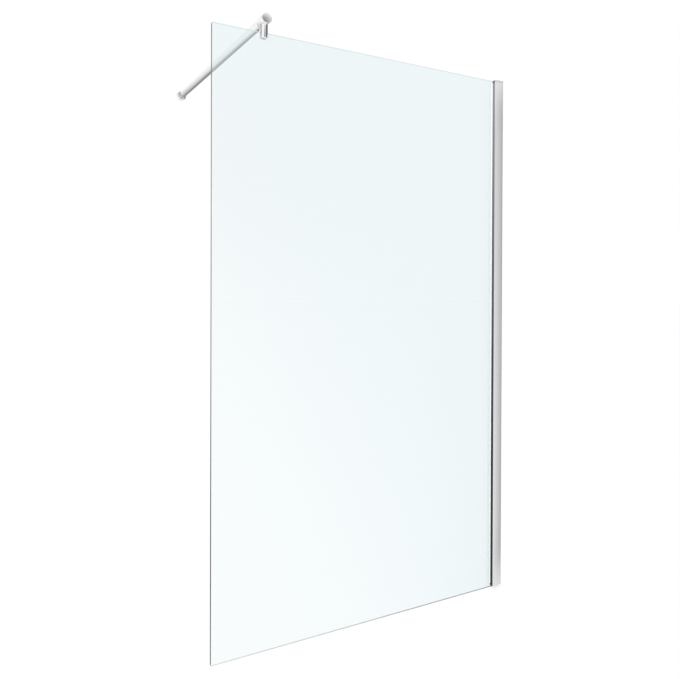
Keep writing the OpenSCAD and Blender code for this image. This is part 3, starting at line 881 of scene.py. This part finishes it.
def make_knuckle():
    """The bar's end: a spigot in the tube, a collar and the swivel's tongue."""
    points = [(0, SPIGOT_START), (SPIGOT_R, SPIGOT_START), (SPIGOT_R, BAR_END),
              (BAR_R, BAR_END), (BAR_R, COLLAR_END), (0, COLLAR_END)]
    body = moved(soften(turned(points), width=0.6, segments=3), *ALONG_BAR)
    tongue = moved(rod(TONGUE_R, -TONGUE_HALF, TONGUE_HALF), half_step(ROD_STEPS))
    stretched(tongue, (0, COLLAR_END - PIVOT_Y, 0), lambda at: at.y < 0 and at.xy.length > NEAR)
    soften(tongue, width=0.6, segments=3, least=60)
    bm = fitted(body, [moved(tongue, on_bar(PIVOT_Y))], "UNION")
    reach = TONGUE_HALF + 2 * OVERCUT
    pin_bore = moved(rod(PIN_BORE_R, -reach, reach, GRUB_STEPS), on_bar(PIVOT_Y))
    grub_bore = moved(rod(KNUCKLE_GRUB_R, -BAR_R, -BAR_R + KNUCKLE_GRUB_DEPTH, HOLE_STEPS),
                      on_bar(KNUCKLE_GRUB_Y))
    bm = fitted(bm, [pin_bore, grub_bore])
    piece("knuckle", bm, "bar", "bar_knuckle", "chrome", CHROME_KNUCKLE)


def make_flange_cover():
    """The round cover over the bracket's plate."""
    inner = FLANGE_R - FLANGE_WALL
    lining = FLANGE_FRONT + FLANGE_WALL
    points = [(FLANGE_OPENING_R, FLANGE_FRONT), (FLANGE_R, FLANGE_FRONT),
              (FLANGE_R, FLANGE_BACK), (inner, FLANGE_BACK),
              (inner, lining), (FLANGE_OPENING_R, lining)]
    bm = turned(points, closed=True, steps=BARREL_STEPS)
    soften(bm, FLANGE_EDGE_R, segments=8,
           where=lambda at: at.xy.length > FLANGE_R - NEAR and at.z < FLANGE_FRONT + NEAR)
    soften(bm, FLANGE_EDGE_R - FLANGE_WALL, segments=6,
           where=lambda at: abs(at.xy.length - inner) < NEAR and at.z < lining + NEAR)
    soften(bm, width=0.3, segments=3, least=50)
    moved(bm, *ALONG_BAR)
    piece("flange_ring", bm, "wall_bracket", "flange_cover", "chrome", CHROME)


def dress(node, material, width=0.2):
    """Keeps a CAD node, with its edges eased and a better finish."""
    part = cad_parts[node]
    weld = part.modifiers.new("weld", "WELD")
    weld.merge_threshold = WELD_DISTANCE * MM
    flat = part.modifiers.new("flat", "DECIMATE")
    flat.decimate_type = "DISSOLVE"
    flat.angle_limit = math.radians(FLAT_ANGLE)
    ease = part.modifiers.new("ease", "BEVEL")
    ease.width = width * MM
    ease.segments = 2
    ease.limit_method = "ANGLE"
    ease.angle_limit = math.radians(EASED_ANGLE)
    ease.harden_normals = True
    for slot in part.material_slots:
        slot.material = material


def seen_rays(nodes):
    """1 for what the camera sees, straight on, through glass or in a reflection."""
    straight = nodes.light_path("Is Camera Ray")
    through = nodes.light_path("Is Transmission Ray")
    return straight.largest(through).largest(nodes.light_path("Is Glossy Ray"))


def within(nodes, angle, half, fade):
    """1 inside half a size, and 0 outside it. It fades over the edge between them."""
    return nodes.ramp(angle, math.radians(half + fade), math.radians(half - fade))


def studio_shade(nodes):
    """White, darkened by the grey cloths in the direction that is looked at."""
    x, y, z = (nodes.along(axis, "Generated") for axis in "XYZ")
    flat = (x * x + y * y) ** 0.5
    tilt = nodes.add("Math", {"operation": "ARCSINE"}, {0: z})
    shade = 1
    for cloth in CLOTHS:
        turn = math.radians(cloth.turn)
        towards = (x * math.sin(turn) + y * math.cos(turn)) / flat
        aside = nodes.add("Math", {"operation": "ARCCOSINE"}, {0: towards})
        above = nodes.add("Math", {"operation": "ABSOLUTE"}, {0: tilt - math.radians(cloth.tilt)})
        covered = (within(nodes, aside, cloth.half_width, cloth.side_fade)
                   * within(nodes, above, cloth.half_height, cloth.end_fade))
        shade = shade * (1 - covered * (1 - cloth.level))
    return shade


def make_world():
    """White where it is seen, with grey cloths in reflections, and dimmer as a light."""
    world = bpy.data.worlds.new("studio")
    bpy.context.scene.world = world
    nodes = Nodes(world)
    reflected = nodes.light_path("Is Glossy Ray") * (1 - nodes.light_path("Is Transmission Ray"))
    white = FILL_LIGHT + seen_rays(nodes) * (1 - FILL_LIGHT)
    strength = white * (1 - reflected) + studio_shade(nodes) * reflected
    light = nodes.add("Background", inputs={"Color": (1, 1, 1, 1), "Strength": strength})
    nodes.add("OutputWorld", inputs={"Surface": light})


def pale_floor(nodes):
    """White with a faint shadow: part of it is lit, and part is its own level."""
    seen = seen_rays(nodes)
    lit = nodes.add("BsdfDiffuse", inputs={"Color": 0.8 - seen * 0.5})
    glow = {"Color": (1, 1, 1, 1), "Strength": seen * FLOOR_GLOW}
    return nodes.add("AddShader", inputs={0: lit, 1: nodes.add("Emission", inputs=glow)})


def make_floor():
    """The floor, just under the lowest edge of the glass."""
    bm = bmesh.new()
    bmesh.ops.create_grid(bm, x_segments=1, y_segments=1, size=FLOOR_SIZE)
    bmesh.ops.translate(bm, vec=(0, 0, FLOOR_Z), verts=bm.verts)
    floor = loose_object(bm, "floor")
    floor.data.materials.append(finish("pale_floor", pale_floor))
    floor.visible_glossy = False


def make_lamp(name, place, aim, size, power):
    """A square lamp that lights the part but is not seen itself."""
    lamp = bpy.data.lights.new(name, "AREA")
    lamp.shape = "SQUARE"
    lamp.size = size
    lamp.energy = power
    holder = bpy.data.objects.new(name, lamp)
    holder.location = place
    holder.rotation_euler = (Vector(aim) - Vector(place)).to_track_quat("-Z", "Y").to_euler()
    holder.visible_camera = False
    holder.visible_glossy = False
    bpy.context.scene.collection.objects.link(holder)


def make_camera():
    """The camera: level at first and looking along +Y, then turned and put in place."""
    camera = bpy.data.objects.new("camera", bpy.data.cameras.new("camera"))
    bpy.context.scene.collection.objects.link(camera)
    bpy.context.scene.camera = camera
    yaw, pitch, roll = (math.radians(d) for d in (CAMERA_YAW, CAMERA_PITCH, CAMERA_ROLL))
    turn = (Matrix.Rotation(yaw, 3, "Z") @ Matrix.Rotation(pitch, 3, "X")
            @ Matrix.Rotation(roll, 3, "Y") @ Matrix.Rotation(math.pi / 2, 3, "X"))
    camera.matrix_world = Matrix.Translation(CAMERA_PLACE) @ turn.to_4x4()
    camera.data.sensor_width = 36
    camera.data.lens = 35.5
    camera.data.shift_x = -0.0284
    camera.data.shift_y = -0.0632
    camera.data.clip_start = 0.05
    camera.data.clip_end = 200


make_glass()
make_channel()
make_top_cap()
make_seal(-1, "lip_front", "front_seal", "seal_rubber", SEAL_RUBBER)
make_seal(1, "lip_rear", "rear_seal", "clear_plastic", CLEAR_SEAL)
make_screw_covers()
make_clamp()
make_end_cap()
make_bar()
make_knuckle()
make_flange_cover()

dress("foot_plug", BLACK_PLASTIC, width=0.3)
dress("glass_channel", ALUMINIUM)
dress("setting_blocks", BLACK_PLASTIC, width=0.3)
dress("fixing_screws", STEEL)
dress("fixing_washers", STEEL, width=0.15)
dress("front_pad", MILKY_PLASTIC)
dress("rear_pad", MILKY_PLASTIC)
dress("pressure_plate", STEEL)
dress("glass_grub_screw", STEEL)
dress("bar_grub_screw", STEEL)
dress("knuckle_grub_screw", STEEL)
dress("flange_base", ZINC, width=0.3)
dress("swivel_pin", STEEL, width=0.15)
dress("swivel_washers", MILKY_PLASTIC, width=0.15)

make_world()
make_floor()
make_camera()
make_lamp("key", place=(-4.2, -4.0, 4.6), aim=(-0.6, 0, 1.2), size=3.5, power=60)

bpy.context.scene.view_settings.view_transform = "Standard"
